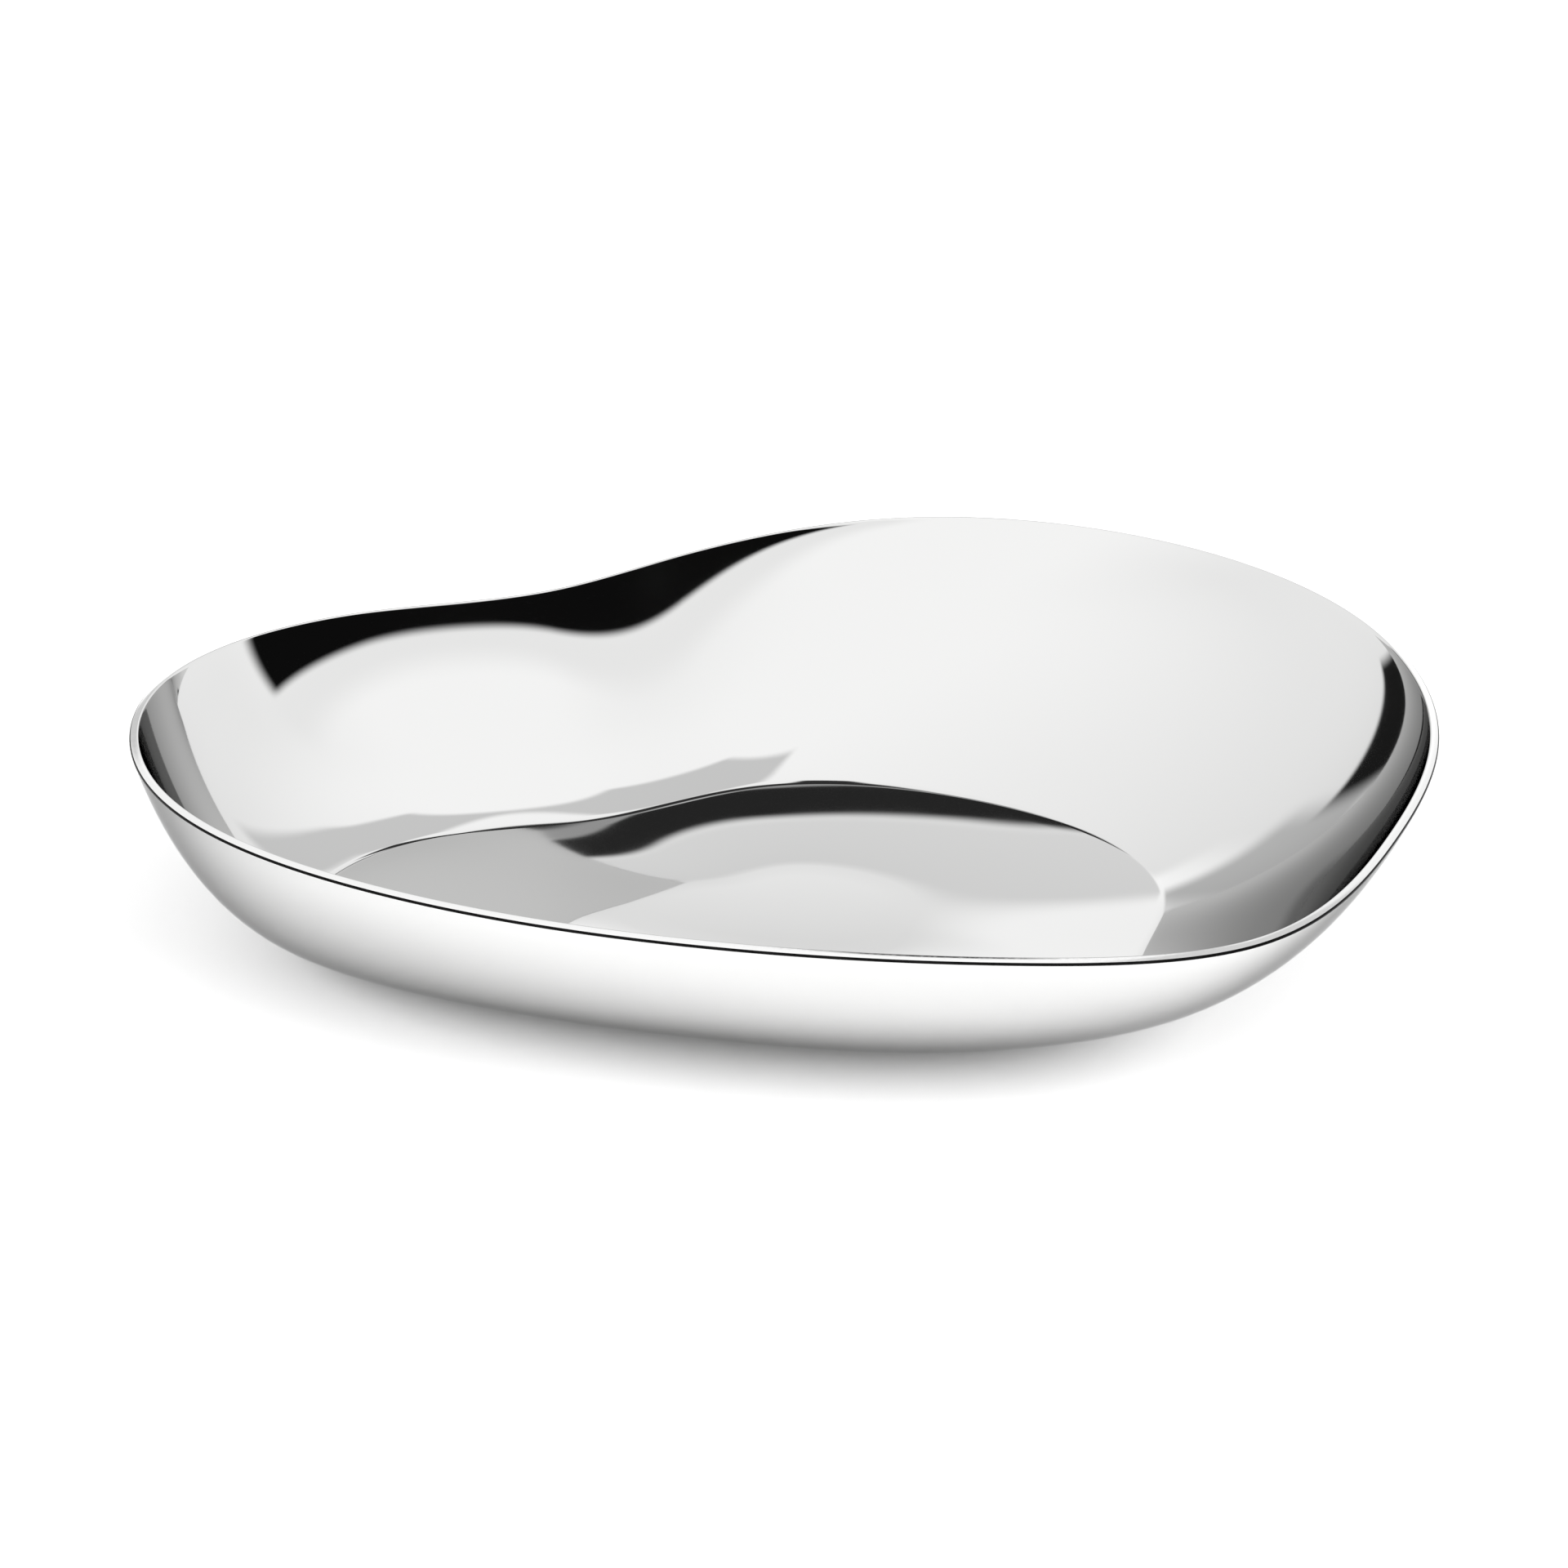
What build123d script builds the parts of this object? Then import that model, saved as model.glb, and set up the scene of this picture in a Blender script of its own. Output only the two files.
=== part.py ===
from build123d import *

import os
from math import cos, radians, sin, tan

# Kidney-shaped bowl of one thick pressed sheet, standing on four clear foot pads.
# Millimetres, +Z up, +X along the length, -Y to the long front side.
# The origin is under the middle of the bowl's outline, on the face it rests on.

# Mouth: the inner edge of the rim.
MOUTH_LENGTH = 322.0
MOUTH_WIDTH = 255.0

# Sheet and wall.
SHEET = 2.5
DEPTH = 46.0              # from the rim down to the edge of the floor
RIM_LEAN = 18.0           # degrees the wall leans out from upright at the rim
WALL_FOOT_SLOPE = 18.5    # degrees from level where the wall meets the floor
RIM_TENSION = 0.17        # share of DEPTH over which the wall keeps its lean
FOOT_TENSION = 0.78       # share of the run over which the wall keeps its foot slope
RIM_OUTER_ROUND = 0.5
RIM_INNER_ROUND = 0.4

# Floor.
FLOOR_EDGE_SLOPE = 6.0    # degrees the dished floor slopes at its edge
FLOOR_FLAT_SHARE = 0.35   # size of the level middle against the whole floor
FLOOR_EDGE_RADIUS = 12.0  # inside radius of the soft line round the floor

# Foot pads.
PAD_DIAMETER = 12.0
PAD_EDGE_ROUND = 0.8
PAD_REACH = 0.68          # how far out they stick, against the floor's edge
BASE_CLEARANCE = 1.5      # lowest point of the sheet above the table

# The mouth's outline, anticlockwise from its left end.
# Each row: x as a share of MOUTH_LENGTH, y as a share of MOUTH_WIDTH, and the
# wall's run in plan from rim to floor as a share of MOUTH_WIDTH.
OUTLINE = (
    (-0.481, 0.090, 0.184),
    (-0.475, -0.161, 0.141),
    (-0.307, -0.369, 0.153),
    (-0.065, -0.482, 0.169),
    (0.171, -0.518, 0.188),
    (0.339, -0.482, 0.235),
    (0.450, -0.275, 0.247),
    (0.500, -0.035, 0.259),
    (0.460, 0.224, 0.294),
    (0.301, 0.424, 0.306),
    (0.087, 0.475, 0.278),
    (-0.090, 0.376, 0.192),
    (-0.193, 0.290, 0.169),
    (-0.345, 0.235, 0.169),
)

# Rows of OUTLINE the foot pads lie inward of.
PAD_ROWS = {
    "front_left": 2,
    "front_right": 5,
    "back_right": 9,
    "back_left": 13,
}

WALL_STEPS = 16
FLOOR_STEPS = 6
TRIM = 3.0                # how far the cavity runs on above the rim
LAND_OVERLAP = 1.5        # how far the rim's land runs into the cavity before it is cut
ABOVE = Vector(0, 0, 1)


def mouth_points():
    """Points of the rim's inner edge, level with each other."""
    return [Vector(row[0] * MOUTH_LENGTH, row[1] * MOUTH_WIDTH, 0) for row in OUTLINE]


def inward_directions(points):
    """Level direction into the bowl, square to the outline, at each point."""
    count = len(points)
    around = [points[(i + 1) % count] - points[i - 1] for i in range(count)]
    return [ABOVE.cross(along).normalized() for along in around]


def wall_profile(run, share):
    """Inset and drop of the wall, and their rates, a share of the way down it."""
    lean = radians(RIM_LEAN)
    slope = radians(WALL_FOOT_SLOPE)
    hold_top = RIM_TENSION * DEPTH
    hold_foot = FOOT_TENSION * run
    insets = (0.0, hold_top * sin(lean), run - hold_foot * cos(slope), run)
    drops = (0.0, hold_top * cos(lean), DEPTH - hold_foot * sin(slope), DEPTH)
    return bezier(insets, share), bezier(drops, share)


def bezier(values, share):
    """Value and rate of a cubic with these four control values."""
    rest = 1.0 - share
    start, first, second, end = values
    value = (
        start * rest ** 3
        + 3 * first * share * rest ** 2
        + 3 * second * share ** 2 * rest
        + end * share ** 3
    )
    rate = (
        3 * (first - start) * rest ** 2
        + 6 * (second - first) * share * rest
        + 3 * (end - second) * share ** 2
    )
    return value, rate


def inner_wall_points(share):
    """Points on the wall's inner face and the direction of the wall there."""
    points = []
    downward = []
    rim = mouth_points()
    for start, inward, row in zip(rim, inward_directions(rim), OUTLINE):
        run = row[2] * MOUTH_WIDTH
        (inset, inset_rate), (drop, drop_rate) = wall_profile(run, share)
        points.append(start + inward * inset - ABOVE * drop)
        downward.append((inward * inset_rate - ABOVE * drop_rate).normalized())
    return points, downward


def sheet_directions(share):
    """Direction through the sheet, from its inner face to its outer face."""
    points, downward = inner_wall_points(share)
    count = len(points)
    around = [points[(i + 1) % count] - points[i - 1] for i in range(count)]
    return [along.cross(down).normalized() * -1 for along, down in zip(around, downward)]


def floor_edge_points():
    """Points where the wall's inner face meets the floor."""
    return inner_wall_points(1.0)[0]


def under_edge_points():
    """Points below floor_edge_points() where the two outer faces meet."""
    middle = radians((WALL_FOOT_SLOPE + FLOOR_EDGE_SLOPE) / 2)
    half_turn = radians((WALL_FOOT_SLOPE - FLOOR_EDGE_SLOPE) / 2)
    through = SHEET / cos(half_turn)
    edge = floor_edge_points()
    inward = inward_directions(mouth_points())
    return [
        point - toward * through * sin(middle) - ABOVE * through * cos(middle)
        for point, toward in zip(edge, inward)
    ]


def outline_wire(points):
    """Smooth closed outline through the points."""
    return Wire([Edge.make_spline(points, periodic=True)])


def centre_of(points):
    """Mean of the points."""
    return sum(points, Vector(0, 0, 0)) * (1.0 / len(points))


def floor_sag():
    """Depth of the dished floor below its edge."""
    edge = floor_edge_points()
    centre = centre_of(edge)
    reach = sum((point - centre).length for point in edge) / len(edge)
    return tan(radians(FLOOR_EDGE_SLOPE)) * reach * (1 - FLOOR_FLAT_SHARE) / 2


def floor_solid(edge, sag):
    """Solid between the level plane of the edge and the dished floor below it."""
    centre = centre_of(edge)
    sections = []
    for step in range(FLOOR_STEPS + 1):
        across = 1.0 - step / FLOOR_STEPS
        share = FLOOR_FLAT_SHARE + (1 - FLOOR_FLAT_SHARE) * across
        drop = ABOVE * sag * (1 - across ** 2)
        sections.append(outline_wire([centre + (point - centre) * share - drop for point in edge]))
    return Solid.make_loft(sections)


def wall_shares():
    """Shares of the way down the wall at which it has sections."""
    return [step / WALL_STEPS for step in range(WALL_STEPS + 1)]


def level_edge(body, height):
    """The closed edge round the bowl nearest a height; seams are shorter than the bowl is wide."""
    round_bowl = [edge for edge in body.edges() if edge.length > MOUTH_WIDTH]
    return min(round_bowl, key=lambda edge: abs(edge.center().Z - height))


def cavity():
    """The space inside the bowl, carried on above the rim."""
    sections = []
    top, downward = inner_wall_points(0.0)
    sections.append(outline_wire([point - down * TRIM for point, down in zip(top, downward)]))
    for share in wall_shares():
        sections.append(outline_wire(inner_wall_points(share)[0]))
    wall = Solid.make_loft(sections)
    space = wall.fuse(floor_solid(floor_edge_points(), floor_sag()))
    return space.fillet(FLOOR_EDGE_RADIUS, [level_edge(space, -DEPTH)])


def outer_body():
    """The outside of the bowl as a full block, with the rim's land as its top."""
    sections = []
    for share in wall_shares()[:-1]:
        points = inner_wall_points(share)[0]
        through = sheet_directions(share)
        sections.append(outline_wire([p + t * SHEET for p, t in zip(points, through)]))
    under = under_edge_points()
    sections.append(outline_wire(under))
    wall = Solid.make_loft(sections)
    lowest = -DEPTH - floor_sag() - SHEET
    block = wall.fuse(floor_solid(under, under[0].Z - lowest))
    block = block.fillet(FLOOR_EDGE_RADIUS + SHEET, [level_edge(block, under[0].Z)])
    rim = inner_wall_points(0.0)[0]
    through = sheet_directions(0.0)
    land_inside = outline_wire([p - t * LAND_OVERLAP for p, t in zip(rim, through)])
    return block.fuse(Solid.make_loft([sections[0], land_inside], ruled=True))


def bowl_shell():
    """The pressed sheet: outer block less the cavity, with both rim corners rounded."""
    sheet = outer_body().cut(cavity())
    outer_corner = -SHEET * sin(radians(RIM_LEAN))
    sheet = sheet.fillet(RIM_OUTER_ROUND, [level_edge(sheet, outer_corner)])
    return sheet.fillet(RIM_INNER_ROUND, [level_edge(sheet, 0.0)])


def table_height():
    """Height of the face the bowl rests on, measured from the rim."""
    return -DEPTH - floor_sag() - SHEET - BASE_CLEARANCE


def foot_pad(centre, block):
    """A round pad from the table up to the underside of the sheet."""
    low = table_height()
    disc = Solid.make_cylinder(PAD_DIAMETER / 2, -low, Plane((centre.X, centre.Y, low)))
    bottom_edge = disc.edges().sort_by(Axis.Z)[0]
    return disc.fillet(PAD_EDGE_ROUND, [bottom_edge]).cut(block)


def pad_centre(row):
    """Where the pad inward of a row of OUTLINE sticks."""
    edge = floor_edge_points()
    centre = centre_of(edge)
    return centre + (edge[row] - centre) * PAD_REACH


def assembly():
    """Every piece by node name, standing on the origin."""
    pieces = {"bowl_shell": bowl_shell()}
    block = outer_body()
    for place, row in PAD_ROWS.items():
        pieces["foot_pad_" + place] = foot_pad(pad_centre(row), block)
    middle = pieces["bowl_shell"].bounding_box().center()
    to_origin = Location((-middle.X, -middle.Y, -table_height()))
    return {name: piece.moved(to_origin) for name, piece in pieces.items()}


os.makedirs("parts", exist_ok=True)
for name, piece in assembly().items():
    piece.label = name
    export_step(piece, os.path.join("parts", name + ".step"))
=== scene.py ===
"""Looks for a kidney-shaped, mirror-polished steel bowl standing on four clear foot pads."""

import logging
import math
from dataclasses import dataclass, field
from enum import Enum

import bpy
import numpy as np
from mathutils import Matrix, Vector


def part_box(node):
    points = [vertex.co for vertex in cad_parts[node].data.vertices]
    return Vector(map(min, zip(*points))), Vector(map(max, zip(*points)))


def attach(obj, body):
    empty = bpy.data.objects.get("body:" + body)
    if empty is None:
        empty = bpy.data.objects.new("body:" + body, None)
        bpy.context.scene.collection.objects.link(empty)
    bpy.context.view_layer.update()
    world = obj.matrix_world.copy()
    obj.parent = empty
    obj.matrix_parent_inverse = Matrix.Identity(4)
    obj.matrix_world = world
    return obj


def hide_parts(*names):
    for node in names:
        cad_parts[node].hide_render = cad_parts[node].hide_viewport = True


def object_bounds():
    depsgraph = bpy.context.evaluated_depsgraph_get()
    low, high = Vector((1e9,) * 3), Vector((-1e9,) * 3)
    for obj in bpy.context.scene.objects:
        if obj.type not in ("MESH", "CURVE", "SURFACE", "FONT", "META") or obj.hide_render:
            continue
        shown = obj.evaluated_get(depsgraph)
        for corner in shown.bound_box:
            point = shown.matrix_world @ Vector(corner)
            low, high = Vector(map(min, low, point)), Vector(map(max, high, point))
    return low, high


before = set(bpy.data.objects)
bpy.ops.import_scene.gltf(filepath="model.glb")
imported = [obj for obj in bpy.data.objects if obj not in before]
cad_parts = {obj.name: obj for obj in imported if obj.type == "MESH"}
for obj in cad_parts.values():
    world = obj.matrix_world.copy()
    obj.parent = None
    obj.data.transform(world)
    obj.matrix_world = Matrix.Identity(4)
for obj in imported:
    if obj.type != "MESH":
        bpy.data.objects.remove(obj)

CAD_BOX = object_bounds()
SHELL_NODE = "bowl_shell"
PAD_NODES = tuple(sorted(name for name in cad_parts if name.startswith("foot_pad")))
ROOT_BODY = "root"
MM = 0.001

log = logging.getLogger("bowl")


class Zone(Enum):
    """The material slots of the sheet's mesh."""

    POLISHED = 0
    GROUND = 1
    # The rim's outer corner round, painted near-black as a dark reflection line.
    PAINTED_DARK_CORNER = 2


class NodeWriter:
    """Adds and links the nodes of one node tree."""

    def __init__(self, tree: bpy.types.NodeTree) -> None:
        """Clear the tree.

        Args:
            tree: The node tree to write to.
        """
        self.tree = tree
        tree.nodes.clear()

    def add(self, kind: str, **settings: object) -> bpy.types.Node:
        """Add a node.

        Args:
            kind: The node's Blender type.
            settings: Values for the node's own properties.

        Returns:
            The new node.
        """
        node = self.tree.nodes.new(kind)
        for key, value in settings.items():
            setattr(node, key, value)
        return node

    def plug(self, source: object, target: bpy.types.NodeSocket) -> None:
        """Link a socket to another, or set a plain value on it.

        Args:
            source: An output socket, a number or a colour.
            target: The input socket.
        """
        if isinstance(source, bpy.types.NodeSocket):
            self.tree.links.new(source, target)
        else:
            target.default_value = source

    def math(self, operation: str, *values: object) -> bpy.types.NodeSocket:
        """Add a math node and return its result.

        Args:
            operation: The sum to do.
            values: Sockets or numbers, in order.

        Returns:
            The result's socket.
        """
        node = self.add("ShaderNodeMath", operation=operation)
        for value, socket in zip(values, node.inputs):
            self.plug(value, socket)
        return node.outputs[0]

    def remap(
        self, value: object, low: float, high: float, to_low: float, to_high: float
    ) -> bpy.types.NodeSocket:
        """Map a range smoothly to another and clamp it.

        Args:
            value: The socket to map.
            low: Start of the range read.
            high: End of the range read.
            to_low: Result at the start.
            to_high: Result at the end.

        Returns:
            The mapped socket.
        """
        node = self.add("ShaderNodeMapRange", interpolation_type="SMOOTHSTEP")
        for given, name in (
            (value, "Value"),
            (low, "From Min"),
            (high, "From Max"),
            (to_low, "To Min"),
            (to_high, "To Max"),
        ):
            self.plug(given, node.inputs[name])
        return node.outputs["Result"]

    def noise(self, place: object, scale: float, detail: float) -> bpy.types.NodeSocket:
        """Add solid noise.

        Args:
            place: The coordinates' socket.
            scale: Lumps per metre.
            detail: How many finer layers it has.

        Returns:
            The noise's socket, about 0 to 1.
        """
        node = self.add("ShaderNodeTexNoise", noise_dimensions="3D")
        self.plug(place, node.inputs["Vector"])
        node.inputs["Scale"].default_value = scale
        node.inputs["Detail"].default_value = detail
        return node.outputs["Fac"]

    def bump(self, height: object, distance: float) -> bpy.types.NodeSocket:
        """Add relief.

        Args:
            height: The socket with the relief, 0 to 1.
            distance: Its full height in metres.

        Returns:
            The normal's socket.
        """
        node = self.add("ShaderNodeBump")
        node.inputs["Distance"].default_value = distance
        self.plug(height, node.inputs["Height"])
        return node.outputs["Normal"]

    def surface(self, shader: bpy.types.Node) -> None:
        """Send a shader to the material's surface.

        Args:
            shader: The shader's node.
        """
        out = self.add("ShaderNodeOutputMaterial")
        self.plug(shader.outputs["BSDF"], out.inputs["Surface"])


@dataclass(frozen=True)
class PolishedSteel:
    """Mirror-polished stainless steel: faint haze, wiping marks and pressing ripple."""

    colour: tuple[float, float, float] = (0.675, 0.675, 0.672)
    edge_tint: tuple[float, float, float] = (0.45, 0.45, 0.45)
    roughness_low: float = 0.015
    roughness_high: float = 0.05
    haze_scale: float = 16.0
    haze_detail: float = 5.0
    haze_clear: float = 0.35
    haze_full: float = 0.7
    ripple_scale: float = 26.0
    ripple_detail: float = 0.0
    ripple_height: float = 0.02 * MM

    def material(self, name: str) -> bpy.types.Material:
        """Make the material.

        Args:
            name: The material's name.

        Returns:
            The new material.
        """
        made = bpy.data.materials.new(name)
        made.use_nodes = True
        nodes = NodeWriter(made.node_tree)
        place = nodes.add("ShaderNodeTexCoord").outputs["Object"]
        haze = nodes.noise(place, self.haze_scale, self.haze_detail)
        ripple = nodes.noise(place, self.ripple_scale, self.ripple_detail)
        shader = nodes.add("ShaderNodeBsdfPrincipled")
        shader.inputs["Base Color"].default_value = (*self.colour, 1.0)
        shader.inputs["Specular Tint"].default_value = (*self.edge_tint, 1.0)
        shader.inputs["Metallic"].default_value = 1.0
        roughness = nodes.remap(
            haze, self.haze_clear, self.haze_full, self.roughness_low, self.roughness_high
        )
        nodes.plug(roughness, shader.inputs["Roughness"])
        nodes.plug(nodes.bump(ripple, self.ripple_height), shader.inputs["Normal"])
        nodes.surface(shader)
        return made


@dataclass(frozen=True)
class GroundEdge:
    """Edge of the sheet: ground square to the wall, then buffed, with fine lines in it. Given a
    near-black colour, it also paints the dark reflection line on the rim's outer corner round.
    """

    colour: tuple[float, float, float] = (0.76, 0.76, 0.757)
    roughness_low: float = 0.07
    roughness_high: float = 0.14
    line_scale: float = 700.0
    line_detail: float = 3.0
    line_clear: float = 0.3
    line_full: float = 0.7

    def material(self, name: str) -> bpy.types.Material:
        """Make the material.

        Args:
            name: The material's name.

        Returns:
            The new material.
        """
        made = bpy.data.materials.new(name)
        made.use_nodes = True
        nodes = NodeWriter(made.node_tree)
        place = nodes.add("ShaderNodeTexCoord").outputs["Object"]
        lines = nodes.noise(place, self.line_scale, self.line_detail)
        shader = nodes.add("ShaderNodeBsdfPrincipled")
        shader.inputs["Base Color"].default_value = (*self.colour, 1.0)
        shader.inputs["Metallic"].default_value = 1.0
        roughness = nodes.remap(
            lines, self.line_clear, self.line_full, self.roughness_low, self.roughness_high
        )
        nodes.plug(roughness, shader.inputs["Roughness"])
        nodes.surface(shader)
        return made


@dataclass(frozen=True)
class ClearRubber:
    """Soft clear pad: water-white, slightly hazy, with a matt moulded skin."""

    colour: tuple[float, float, float] = (0.86, 0.88, 0.88)
    transmission: float = 0.75
    ior: float = 1.45
    roughness_low: float = 0.22
    roughness_high: float = 0.34
    grain_scale: float = 900.0
    grain_detail: float = 4.0
    grain_clear: float = 0.3
    grain_full: float = 0.7
    grain_height: float = 0.008 * MM

    def material(self, name: str) -> bpy.types.Material:
        """Make the material.

        Args:
            name: The material's name.

        Returns:
            The new material.
        """
        made = bpy.data.materials.new(name)
        made.use_nodes = True
        nodes = NodeWriter(made.node_tree)
        place = nodes.add("ShaderNodeTexCoord").outputs["Object"]
        grain = nodes.noise(place, self.grain_scale, self.grain_detail)
        shader = nodes.add("ShaderNodeBsdfPrincipled")
        shader.inputs["Base Color"].default_value = (*self.colour, 1.0)
        shader.inputs["Transmission Weight"].default_value = self.transmission
        shader.inputs["IOR"].default_value = self.ior
        roughness = nodes.remap(
            grain, self.grain_clear, self.grain_full, self.roughness_low, self.roughness_high
        )
        nodes.plug(roughness, shader.inputs["Roughness"])
        nodes.plug(nodes.bump(grain, self.grain_height), shader.inputs["Normal"])
        nodes.surface(shader)
        return made


def closed_spline(points: np.ndarray, per_span: int) -> np.ndarray:
    """Points along the smooth closed curve through some points.

    Args:
        points: The points the curve goes through, one per row.
        per_span: How many points to give for each span between two of them.

    Returns:
        The points along the curve, one per row, starting at the first point.
    """
    count = len(points)
    ahead = np.roll(points, -1, axis=0) - points
    span = np.linalg.norm(ahead, axis=1)
    before = np.roll(span, 1)
    slope = ahead / span[:, None]
    system = np.zeros((count, count))
    for i in range(count):
        system[i, i - 1] += before[i]
        system[i, i] += 2.0 * (before[i] + span[i])
        system[i, (i + 1) % count] += span[i]
    bend = np.linalg.solve(system, 6.0 * (slope - np.roll(slope, 1, axis=0)))
    next_bend = np.roll(bend, -1, axis=0)
    share = np.arange(per_span)[None, :, None] / per_span
    along = share * span[:, None, None]
    start_rate = slope - span[:, None] * (2.0 * bend + next_bend) / 6.0
    curve = (
        points[:, None, :]
        + start_rate[:, None, :] * along
        + bend[:, None, :] * along**2 / 2.0
        + (next_bend - bend)[:, None, :] * along**3 / (6.0 * span[:, None, None])
    )
    return curve.reshape(-1, points.shape[1])


@dataclass
class Sheet:
    """The bowl's pressed sheet: where its faces lie, ring by ring, in metres."""

    mouth_length: float = 322.0 * MM
    mouth_width: float = 255.0 * MM
    thickness: float = 2.5 * MM
    depth: float = 46.0 * MM
    lean: float = math.radians(18.0)
    foot_slope: float = math.radians(18.5)
    rim_tension: float = 0.17
    foot_tension: float = 0.78
    outer_round: float = 0.5 * MM
    inner_round: float = 0.4 * MM
    floor_slope: float = math.radians(6.0)
    floor_flat: float = 0.35
    floor_radius: float = 12.0 * MM
    outline: tuple[tuple[float, float, float], ...] = (
        (-0.481, 0.090, 0.184),
        (-0.475, -0.161, 0.141),
        (-0.307, -0.369, 0.153),
        (-0.065, -0.482, 0.169),
        (0.171, -0.518, 0.188),
        (0.339, -0.482, 0.235),
        (0.450, -0.275, 0.247),
        (0.500, -0.035, 0.259),
        (0.460, 0.224, 0.294),
        (0.301, 0.424, 0.306),
        (0.087, 0.475, 0.278),
        (-0.090, 0.376, 0.192),
        (-0.193, 0.290, 0.169),
        (-0.345, 0.235, 0.169),
    )
    up: np.ndarray = field(default_factory=lambda: np.array((0.0, 0.0, 1.0)))

    def __post_init__(self) -> None:
        """Work out the mouth's points, their inward directions and the wall's runs."""
        table = np.array(self.outline)
        self.mouth = np.zeros((len(table), 3))
        self.mouth[:, 0] = table[:, 0] * self.mouth_length
        self.mouth[:, 1] = table[:, 1] * self.mouth_width
        self.run = table[:, 2] * self.mouth_width
        self.inward = self.unit(np.cross(self.up, self.around(self.mouth)))

    @staticmethod
    def around(points: np.ndarray) -> np.ndarray:
        """Direction along a closed row of points, at each of them.

        Args:
            points: The points, one per row.

        Returns:
            The directions, not brought to one length.
        """
        return np.roll(points, -1, axis=0) - np.roll(points, 1, axis=0)

    @staticmethod
    def unit(directions: np.ndarray) -> np.ndarray:
        """Bring directions to one unit's length.

        Args:
            directions: The directions, one per row.

        Returns:
            The directions, each one unit long.
        """
        return directions / np.linalg.norm(directions, axis=1)[:, None]

    def wall(self, share: np.ndarray | float) -> tuple[np.ndarray, np.ndarray]:
        """The wall's inner face at a share of the way down.

        Args:
            share: One share for all columns, or one for each.

        Returns:
            The points, and the direction down the wall at each.
        """
        down = np.broadcast_to(np.asarray(share, float), self.run.shape)
        rest = 1.0 - down
        top = self.rim_tension * self.depth
        foot = self.foot_tension * self.run
        zero = np.zeros_like(self.run)
        insets = (
            zero,
            zero + top * math.sin(self.lean),
            self.run - foot * math.cos(self.foot_slope),
            self.run,
        )
        drops = (
            zero,
            zero + top * math.cos(self.lean),
            self.depth - foot * math.sin(self.foot_slope),
            zero + self.depth,
        )
        values = []
        rates = []
        for start, first, second, end in (insets, drops):
            values.append(
                start * rest**3
                + 3 * first * down * rest**2
                + 3 * second * down**2 * rest
                + end * down**3
            )
            rates.append(
                3 * (first - start) * rest**2
                + 6 * (second - first) * down * rest
                + 3 * (end - second) * down**2
            )
        points = self.mouth + self.inward * values[0][:, None] - self.up * values[1][:, None]
        along = self.inward * rates[0][:, None] - self.up * rates[1][:, None]
        return points, self.unit(along)

    def through(self, share: np.ndarray | float) -> np.ndarray:
        """Direction from the sheet's inner face to its outer face.

        Args:
            share: The share of the way down, one for all columns or one for each.

        Returns:
            The directions, one for each column.
        """
        points, down = self.wall(share)
        return -self.unit(np.cross(self.around(points), down))

    def outer_wall(self, share: np.ndarray | float) -> np.ndarray:
        """Points on the wall's outer face.

        Args:
            share: The share of the way down, one for all columns or one for each.

        Returns:
            The points, one for each column.
        """
        return self.wall(share)[0] + self.through(share) * self.thickness

    def floor_edge(self) -> np.ndarray:
        """Points where the wall's inner face meets the floor."""
        return self.wall(1.0)[0]

    def under_edge(self) -> np.ndarray:
        """Points below the floor's edge where the outer faces meet.

        Returns:
            The points, one for each column.
        """
        middle = (self.foot_slope + self.floor_slope) / 2
        half_turn = (self.foot_slope - self.floor_slope) / 2
        reach = self.thickness / math.cos(half_turn)
        return (
            self.floor_edge()
            - self.inward * reach * math.sin(middle)
            - self.up * reach * math.cos(middle)
        )

    def sag(self) -> float:
        """Depth of the dished floor below its edge.

        Returns:
            The depth in metres.
        """
        edge = self.floor_edge()
        reach = np.linalg.norm(edge - edge.mean(axis=0), axis=1).mean()
        return math.tan(self.floor_slope) * float(reach) * (1 - self.floor_flat) / 2

    def floor(self, edge: np.ndarray, sag: float, across: np.ndarray | float) -> np.ndarray:
        """Points of the dished floor.

        Args:
            edge: The floor's edge.
            sag: How far the level middle lies below the edge.
            across: 1 at the edge, 0 where the level middle begins.

        Returns:
            The points, one for each column.
        """
        centre = edge.mean(axis=0)
        part = np.broadcast_to(np.asarray(across, float), self.run.shape)[:, None]
        share = self.floor_flat + (1 - self.floor_flat) * part
        return centre + (edge - centre) * share - self.up * sag * (1 - part**2)

    def middle(self, edge: np.ndarray, sag: float, share: float) -> np.ndarray:
        """Points of the floor's level middle.

        Args:
            edge: The floor's edge.
            sag: How far the level middle lies below the edge.
            share: The share of the way out to where the floor begins to rise.

        Returns:
            The points, one for each column.
        """
        centre = edge.mean(axis=0)
        return centre + (edge - centre) * self.floor_flat * share - self.up * sag


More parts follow.
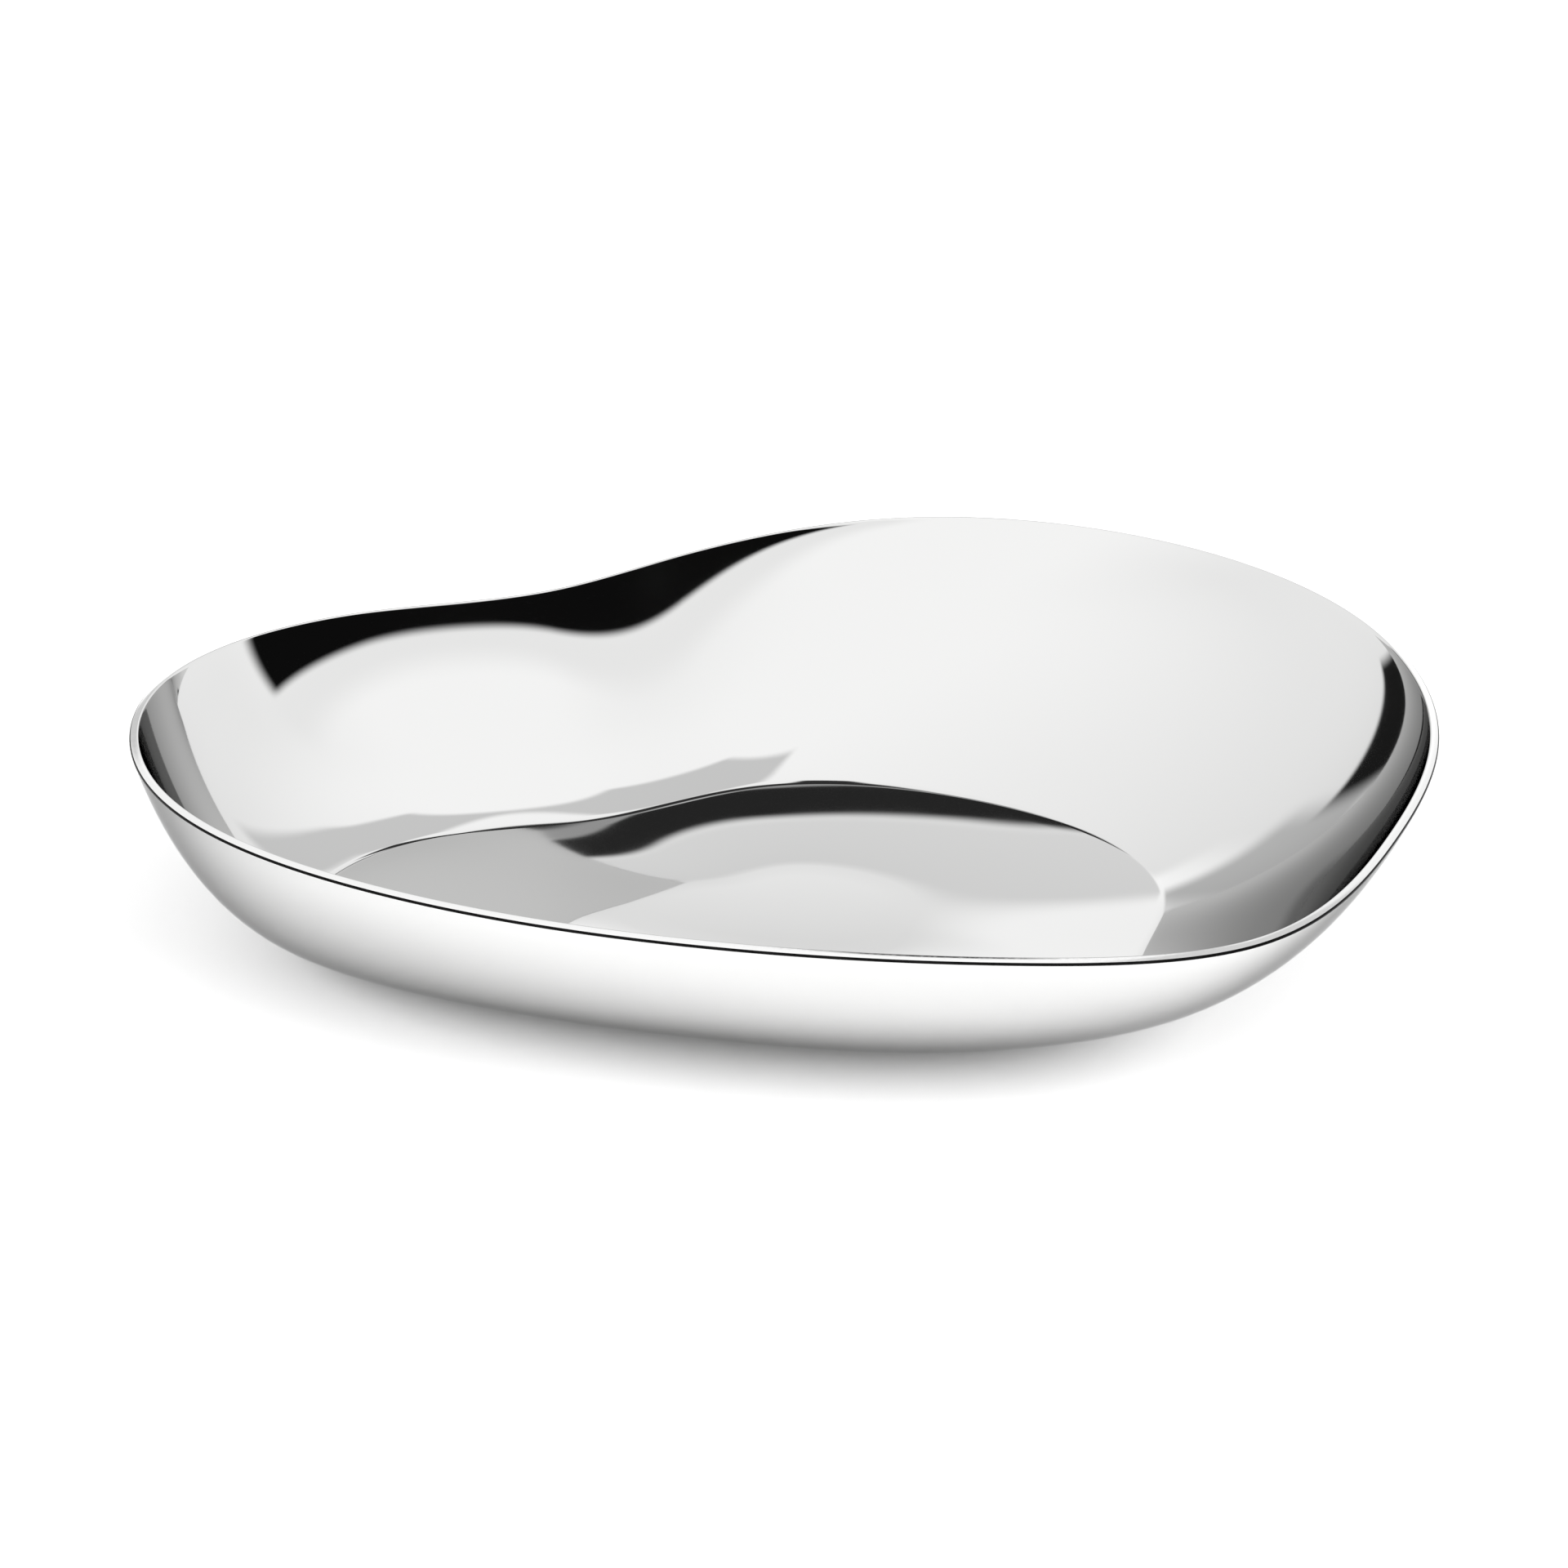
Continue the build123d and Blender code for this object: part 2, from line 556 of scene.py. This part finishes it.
@dataclass
class BowlShell:
    """The pressed steel bowl as one closed, finely divided mesh."""

    sheet: Sheet = field(default_factory=Sheet)
    per_span: int = 32
    wall_rings: int = 56
    floor_rings: int = 16
    middle_rings: int = 4
    corner_rings: int = 5
    edge_rings: int = 7
    steel: PolishedSteel = field(default_factory=PolishedSteel)
    land: GroundEdge = field(default_factory=GroundEdge)
    # Near-black on the rim's outer corner round: a painted dark reflection line, not the steel's
    # own colour.
    corner: GroundEdge = GroundEdge(colour=(0.008, 0.008, 0.008))

    def face_rings(self, outer: bool) -> list[np.ndarray]:
        """Rings of one face of the sheet, from its level middle out to the rim.

        Args:
            outer: True for the outer face.

        Returns:
            The rings, each with one point for each column.
        """
        sheet = self.sheet
        if outer:
            edge = sheet.under_edge()
            sag = sheet.sag() + sheet.thickness - (sheet.floor_edge() - edge)[0, 2]
            radius = sheet.floor_radius + sheet.thickness
            corner = sheet.outer_round
        else:
            edge = sheet.floor_edge()
            sag = sheet.sag()
            radius = sheet.floor_radius
            corner = sheet.inner_round
        wall = sheet.outer_wall if outer else (lambda share: sheet.wall(share)[0])
        reach = np.linalg.norm(edge - edge.mean(axis=0), axis=1)
        turn = (sheet.foot_slope - sheet.floor_slope) / 2
        back = radius * math.tan(turn)
        floor_end = 1.0 - back / (reach * (1 - sheet.floor_flat))
        wall_start = 1.0 - back / (3 * sheet.foot_tension * sheet.run)
        wall_end = corner / (3 * sheet.rim_tension * sheet.depth)
        rings = [
            sheet.middle(edge, sag, step / self.middle_rings)
            for step in range(1, self.middle_rings)
        ]
        rings += [
            sheet.floor(edge, sag, floor_end * step / self.floor_rings)
            for step in range(self.floor_rings)
        ]
        low = sheet.floor(edge, sag, floor_end)
        high = wall(wall_start)
        for step in range(self.edge_rings + 1):
            share = step / self.edge_rings
            rings.append(
                low * (1 - share) ** 2 + edge * 2 * share * (1 - share) + high * share**2
            )
        rings += [
            wall(wall_start + (wall_end - wall_start) * step / self.wall_rings)
            for step in range(1, self.wall_rings + 1)
        ]
        return rings

    def rim_rings(self) -> tuple[list[np.ndarray], int]:
        """Rings over the rim, from its inner corner to its outer corner.

        Returns:
            The rings, and how many of them come before the flat land.
        """
        sheet = self.sheet
        start, down = sheet.wall(0.0)
        through = sheet.through(0.0)
        inner = start + (down + through) * sheet.inner_round
        outer = start + through * (sheet.thickness - sheet.outer_round)
        outer = outer + down * sheet.outer_round
        rings = []
        for step in range(1, self.corner_rings + 1):
            angle = math.pi / 2 * step / self.corner_rings
            turned = through * math.cos(angle) + down * math.sin(angle)
            rings.append(inner - turned * sheet.inner_round)
        before = len(rings)
        for step in range(self.corner_rings):
            angle = math.pi / 2 * step / self.corner_rings
            turned = through * math.sin(angle) - down * math.cos(angle)
            rings.append(outer + turned * sheet.outer_round)
        return rings, before

    def build(self) -> bpy.types.Object:
        """Make the mesh, ring by ring from inside to outside, fitted to the CAD node's box.

        Returns:
            The new object.
        """
        inside = self.face_rings(outer=False)
        rim, before = self.rim_rings()
        outside = self.face_rings(outer=True)[::-1]
        rings = inside + rim + outside
        land = len(inside) + before - 1
        # Rings of the rim's outer corner round, which carry the painted dark reflection line.
        corner = range(land + 1, land + 1 + self.corner_rings)
        curves = np.array([closed_spline(ring, self.per_span) for ring in rings])
        count = curves.shape[1]
        flat = self.fitted(curves.reshape(-1, 3))
        first = flat[:count].mean(axis=0)
        last = flat[-count:].mean(axis=0)
        points = np.vstack((flat, first, last))
        step = np.arange(count)
        follow = (step + 1) % count
        faces = []
        slots = []
        for ring in range(len(rings) - 1):
            low = ring * count
            high = low + count
            quads = np.stack((low + step, high + step, high + follow, low + follow), axis=1)
            faces += quads.tolist()
            zone = Zone.GROUND if ring == land else Zone.POLISHED
            # The outer corner round gets the painted dark reflection line.
            if ring in corner:
                zone = Zone.PAINTED_DARK_CORNER
            slots += [zone.value] * count
        top = (len(rings) - 1) * count
        faces += [(len(flat), int(a), int(b)) for a, b in zip(step, follow)]
        faces += [(len(flat) + 1, top + int(b), top + int(a)) for a, b in zip(step, follow)]
        slots += [Zone.POLISHED.value] * (2 * count)
        mesh = bpy.data.meshes.new("pressed_bowl")
        mesh.from_pydata(points.tolist(), [], faces)
        mesh.polygons.foreach_set("material_index", slots)
        mesh.polygons.foreach_set("use_smooth", [True] * len(faces))
        mesh.update()
        piece = bpy.data.objects.new("pressed_bowl", mesh)
        bpy.context.scene.collection.objects.link(piece)
        return piece

    def fitted(self, points: np.ndarray) -> np.ndarray:
        """Bring points exactly onto the CAD node's box.

        Args:
            points: The points, one per row.

        Returns:
            The moved points.
        """
        low, high = (np.array(corner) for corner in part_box(SHELL_NODE))
        least = points.min(axis=0)
        most = points.max(axis=0)
        return low + (points - least) * (high - low) / (most - least)

    def dress(self, piece: bpy.types.Object) -> None:
        """Give the bowl its finishes and its painted dark reflection line, and stand it for the
        CAD node.

        Args:
            piece: The bowl's object.
        """
        piece.data.materials.append(self.steel.material("polished_steel"))
        piece.data.materials.append(self.land.material("ground_edge"))
        # Painted dark reflection line on the rim's outer corner round.
        piece.data.materials.append(self.corner.material("painted_reflection_line"))
        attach(piece, ROOT_BODY)
        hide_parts(SHELL_NODE)
        log.info("%s: %d faces", piece.name, len(piece.data.polygons))


@dataclass
class FootPads:
    """The four clear pads under the floor, kept as the CAD made them."""

    rubber: ClearRubber = field(default_factory=ClearRubber)

    def dress(self) -> None:
        """Put the clear rubber on every pad."""
        material = self.rubber.material("clear_rubber")
        for name in PAD_NODES:
            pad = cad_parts[name]
            pad.data.materials.clear()
            pad.data.materials.append(material)
            log.info("%s: %d faces", pad.name, len(pad.data.polygons))


@dataclass(frozen=True)
class Patch:
    """One soft-edged patch of light or shade in the studio, by direction, in degrees.

    Azimuth runs clockwise from +Y, seen from above; its elevation rises by slope for
    each degree of azimuth. Light is a share of the studio's own light.
    """

    azimuth: float
    elevation: float
    wide: float
    high: float
    soft_sides: float
    soft_edges: float
    light: float
    slope: float = 0.0

    def cover(
        self, nodes: NodeWriter, azimuth: object, elevation: object
    ) -> bpy.types.NodeSocket:
        """How much of the studio the patch covers in a direction.

        Args:
            nodes: The writer of the world's nodes.
            azimuth: The direction's azimuth.
            elevation: The direction's elevation.

        Returns:
            The cover's socket, 0 to 1.
        """
        aside = nodes.math("WRAP", nodes.math("SUBTRACT", azimuth, self.azimuth), 180.0, -180.0)
        rise = nodes.math("MULTIPLY", aside, self.slope)
        above = nodes.math("SUBTRACT", nodes.math("SUBTRACT", elevation, rise), self.elevation)
        covers = []
        for offset, size, soft in (
            (aside, self.wide, self.soft_sides),
            (above, self.high, self.soft_edges),
        ):
            reach = nodes.math("ABSOLUTE", offset)
            covers.append(nodes.remap(reach, (size - soft) / 2, (size + soft) / 2, 1.0, 0.0))
        return nodes.math("MULTIPLY", *covers)


@dataclass
class Studio:
    """Pale floor, soft light all round with a few dark panels, and the camera."""

    floor_size: float = 24.0
    floor_colour: tuple[float, float, float] = (0.76, 0.76, 0.76)
    floor_roughness: float = 0.9
    view_elevation: float = math.radians(26.0)
    view_distance: float = 1.6
    lens: float = 146.0
    target: tuple[float, float, float] = (-0.0002, 0.0050, 0.0331)
    lamp_elevation: float = math.radians(26.0)
    lamp_spread: float = math.radians(45.0)
    lamps: tuple[tuple[str, float, float], ...] = (
        ("right_lamp", 115.0, 4.4),
        ("left_lamp", -110.0, 2.4),
    )
    base_light: float = 1.66
    patches: tuple[Patch, ...] = (
        # Less light from below the horizon.
        Patch(0.0, -50.0, 400.0, 90.0, 10.0, 8.0, 0.45),
        # A little less light low down on the left and on the right.
        Patch(-60.0, 25.0, 120.0, 70.0, 50.0, 50.0, 0.88),
        Patch(60.0, 20.0, 110.0, 60.0, 50.0, 50.0, 0.88),
        # Black panel standing at the front right, with a soft grey edge over it.
        Patch(135.0, 26.0, 70.0, 18.0, 16.0, 14.0, 0.88, -0.34),
        Patch(135.0, 3.4, 54.0, 35.0, 6.0, 4.0, 0.004, -0.21),
        # Grey strip at the back right, its high part.
        Patch(27.0, 60.0, 26.0, 22.0, 4.0, 3.0, 0.62, -0.2),
        # Behind: brighter light, then a dim band, two black bars and a grey gap.
        Patch(0.0, 15.0, 40.0, 34.0, 10.0, 4.0, 1.12),
        Patch(0.0, 31.5, 16.0, 9.0, 4.0, 2.0, 0.78),
        Patch(0.0, 39.5, 16.0, 6.0, 4.0, 1.5, 0.02),
        Patch(0.0, 44.0, 14.0, 3.5, 4.0, 1.0, 0.32),
        Patch(5.0, 48.5, 18.0, 7.0, 3.0, 2.0, 0.03),
        Patch(0.0, 53.0, 7.0, 13.0, 2.0, 2.0, 0.03),
        # Grey strip at the back right, its low part.
        Patch(32.0, 48.0, 20.0, 28.0, 6.0, 6.0, 0.62, -0.8),
        # Low grey and black panels at the back left.
        Patch(-19.0, 17.0, 14.0, 16.0, 6.0, 5.0, 0.55),
        Patch(-38.0, 6.0, 25.0, 17.0, 5.0, 2.0, 0.012, 0.3),
    )

    def floor(self) -> None:
        """Lay the pale floor under the pads."""
        half = self.floor_size / 2
        corners = [(-half, -half, 0.0), (half, -half, 0.0), (half, half, 0.0), (-half, half, 0.0)]
        mesh = bpy.data.meshes.new("floor")
        mesh.from_pydata(corners, [], [(0, 1, 2, 3)])
        floor = bpy.data.objects.new("floor", mesh)
        floor.location.z = CAD_BOX[0][2]
        bpy.context.scene.collection.objects.link(floor)
        material = bpy.data.materials.new("pale_floor")
        material.use_nodes = True
        shader = material.node_tree.nodes["Principled BSDF"]
        shader.inputs["Base Color"].default_value = (*self.floor_colour, 1.0)
        shader.inputs["Roughness"].default_value = self.floor_roughness
        mesh.materials.append(material)

    def sky(self) -> None:
        """Surround the floor with soft light."""
        world = bpy.data.worlds.new("studio")
        bpy.context.scene.world = world
        world.use_nodes = True
        nodes = NodeWriter(world.node_tree)
        split = nodes.add("ShaderNodeSeparateXYZ")
        nodes.plug(nodes.add("ShaderNodeTexCoord").outputs["Generated"], split.inputs["Vector"])
        along, across, up = split.outputs
        azimuth = nodes.math("DEGREES", nodes.math("ARCTAN2", along, across))
        elevation = nodes.math("DEGREES", nodes.math("ARCSINE", up))
        strength = self.base_light
        for patch in self.patches:
            mix = nodes.add("ShaderNodeMix", data_type="FLOAT")
            nodes.plug(patch.cover(nodes, azimuth, elevation), mix.inputs["Factor"])
            nodes.plug(strength, mix.inputs["A"])
            nodes.plug(self.base_light * patch.light, mix.inputs["B"])
            strength = mix.outputs["Result"]
        light = nodes.add("ShaderNodeBackground")
        nodes.plug(strength, light.inputs["Strength"])
        out = nodes.add("ShaderNodeOutputWorld")
        nodes.plug(light.outputs["Background"], out.inputs["Surface"])

    def low_lamps(self) -> None:
        """Light the floor under the bowl's overhang with broad, low lamps."""
        for name, azimuth, strength in self.lamps:
            data = bpy.data.lights.new(name, "SUN")
            data.energy = strength
            data.angle = self.lamp_spread
            lamp = bpy.data.objects.new(name, data)
            bpy.context.scene.collection.objects.link(lamp)
            tilt = math.pi / 2 - self.lamp_elevation
            lamp.rotation_euler = (tilt, 0.0, math.pi - math.radians(azimuth))
            lamp.visible_glossy = False

    def camera(self) -> None:
        """Set the camera looking along +Y from above the front."""
        data = bpy.data.cameras.new("camera")
        data.lens = self.lens
        camera = bpy.data.objects.new("camera", data)
        bpy.context.scene.collection.objects.link(camera)
        away = Vector((0.0, -math.cos(self.view_elevation), math.sin(self.view_elevation)))
        camera.location = Vector(self.target) + away * self.view_distance
        camera.rotation_euler = (math.pi / 2 - self.view_elevation, 0.0, 0.0)
        bpy.context.scene.camera = camera

    def build(self) -> None:
        """Make the floor, the light and the camera."""
        self.floor()
        self.sky()
        self.low_lamps()
        self.camera()
        bpy.context.scene.view_settings.view_transform = "Standard"


def main() -> None:
    """Build every sub-assembly in order and report each piece."""
    logging.basicConfig(level=logging.INFO, format="%(name)s %(message)s")
    shell = BowlShell()
    shell.dress(shell.build())
    FootPads().dress()
    Studio().build()


if __name__ == "__main__":
    main()
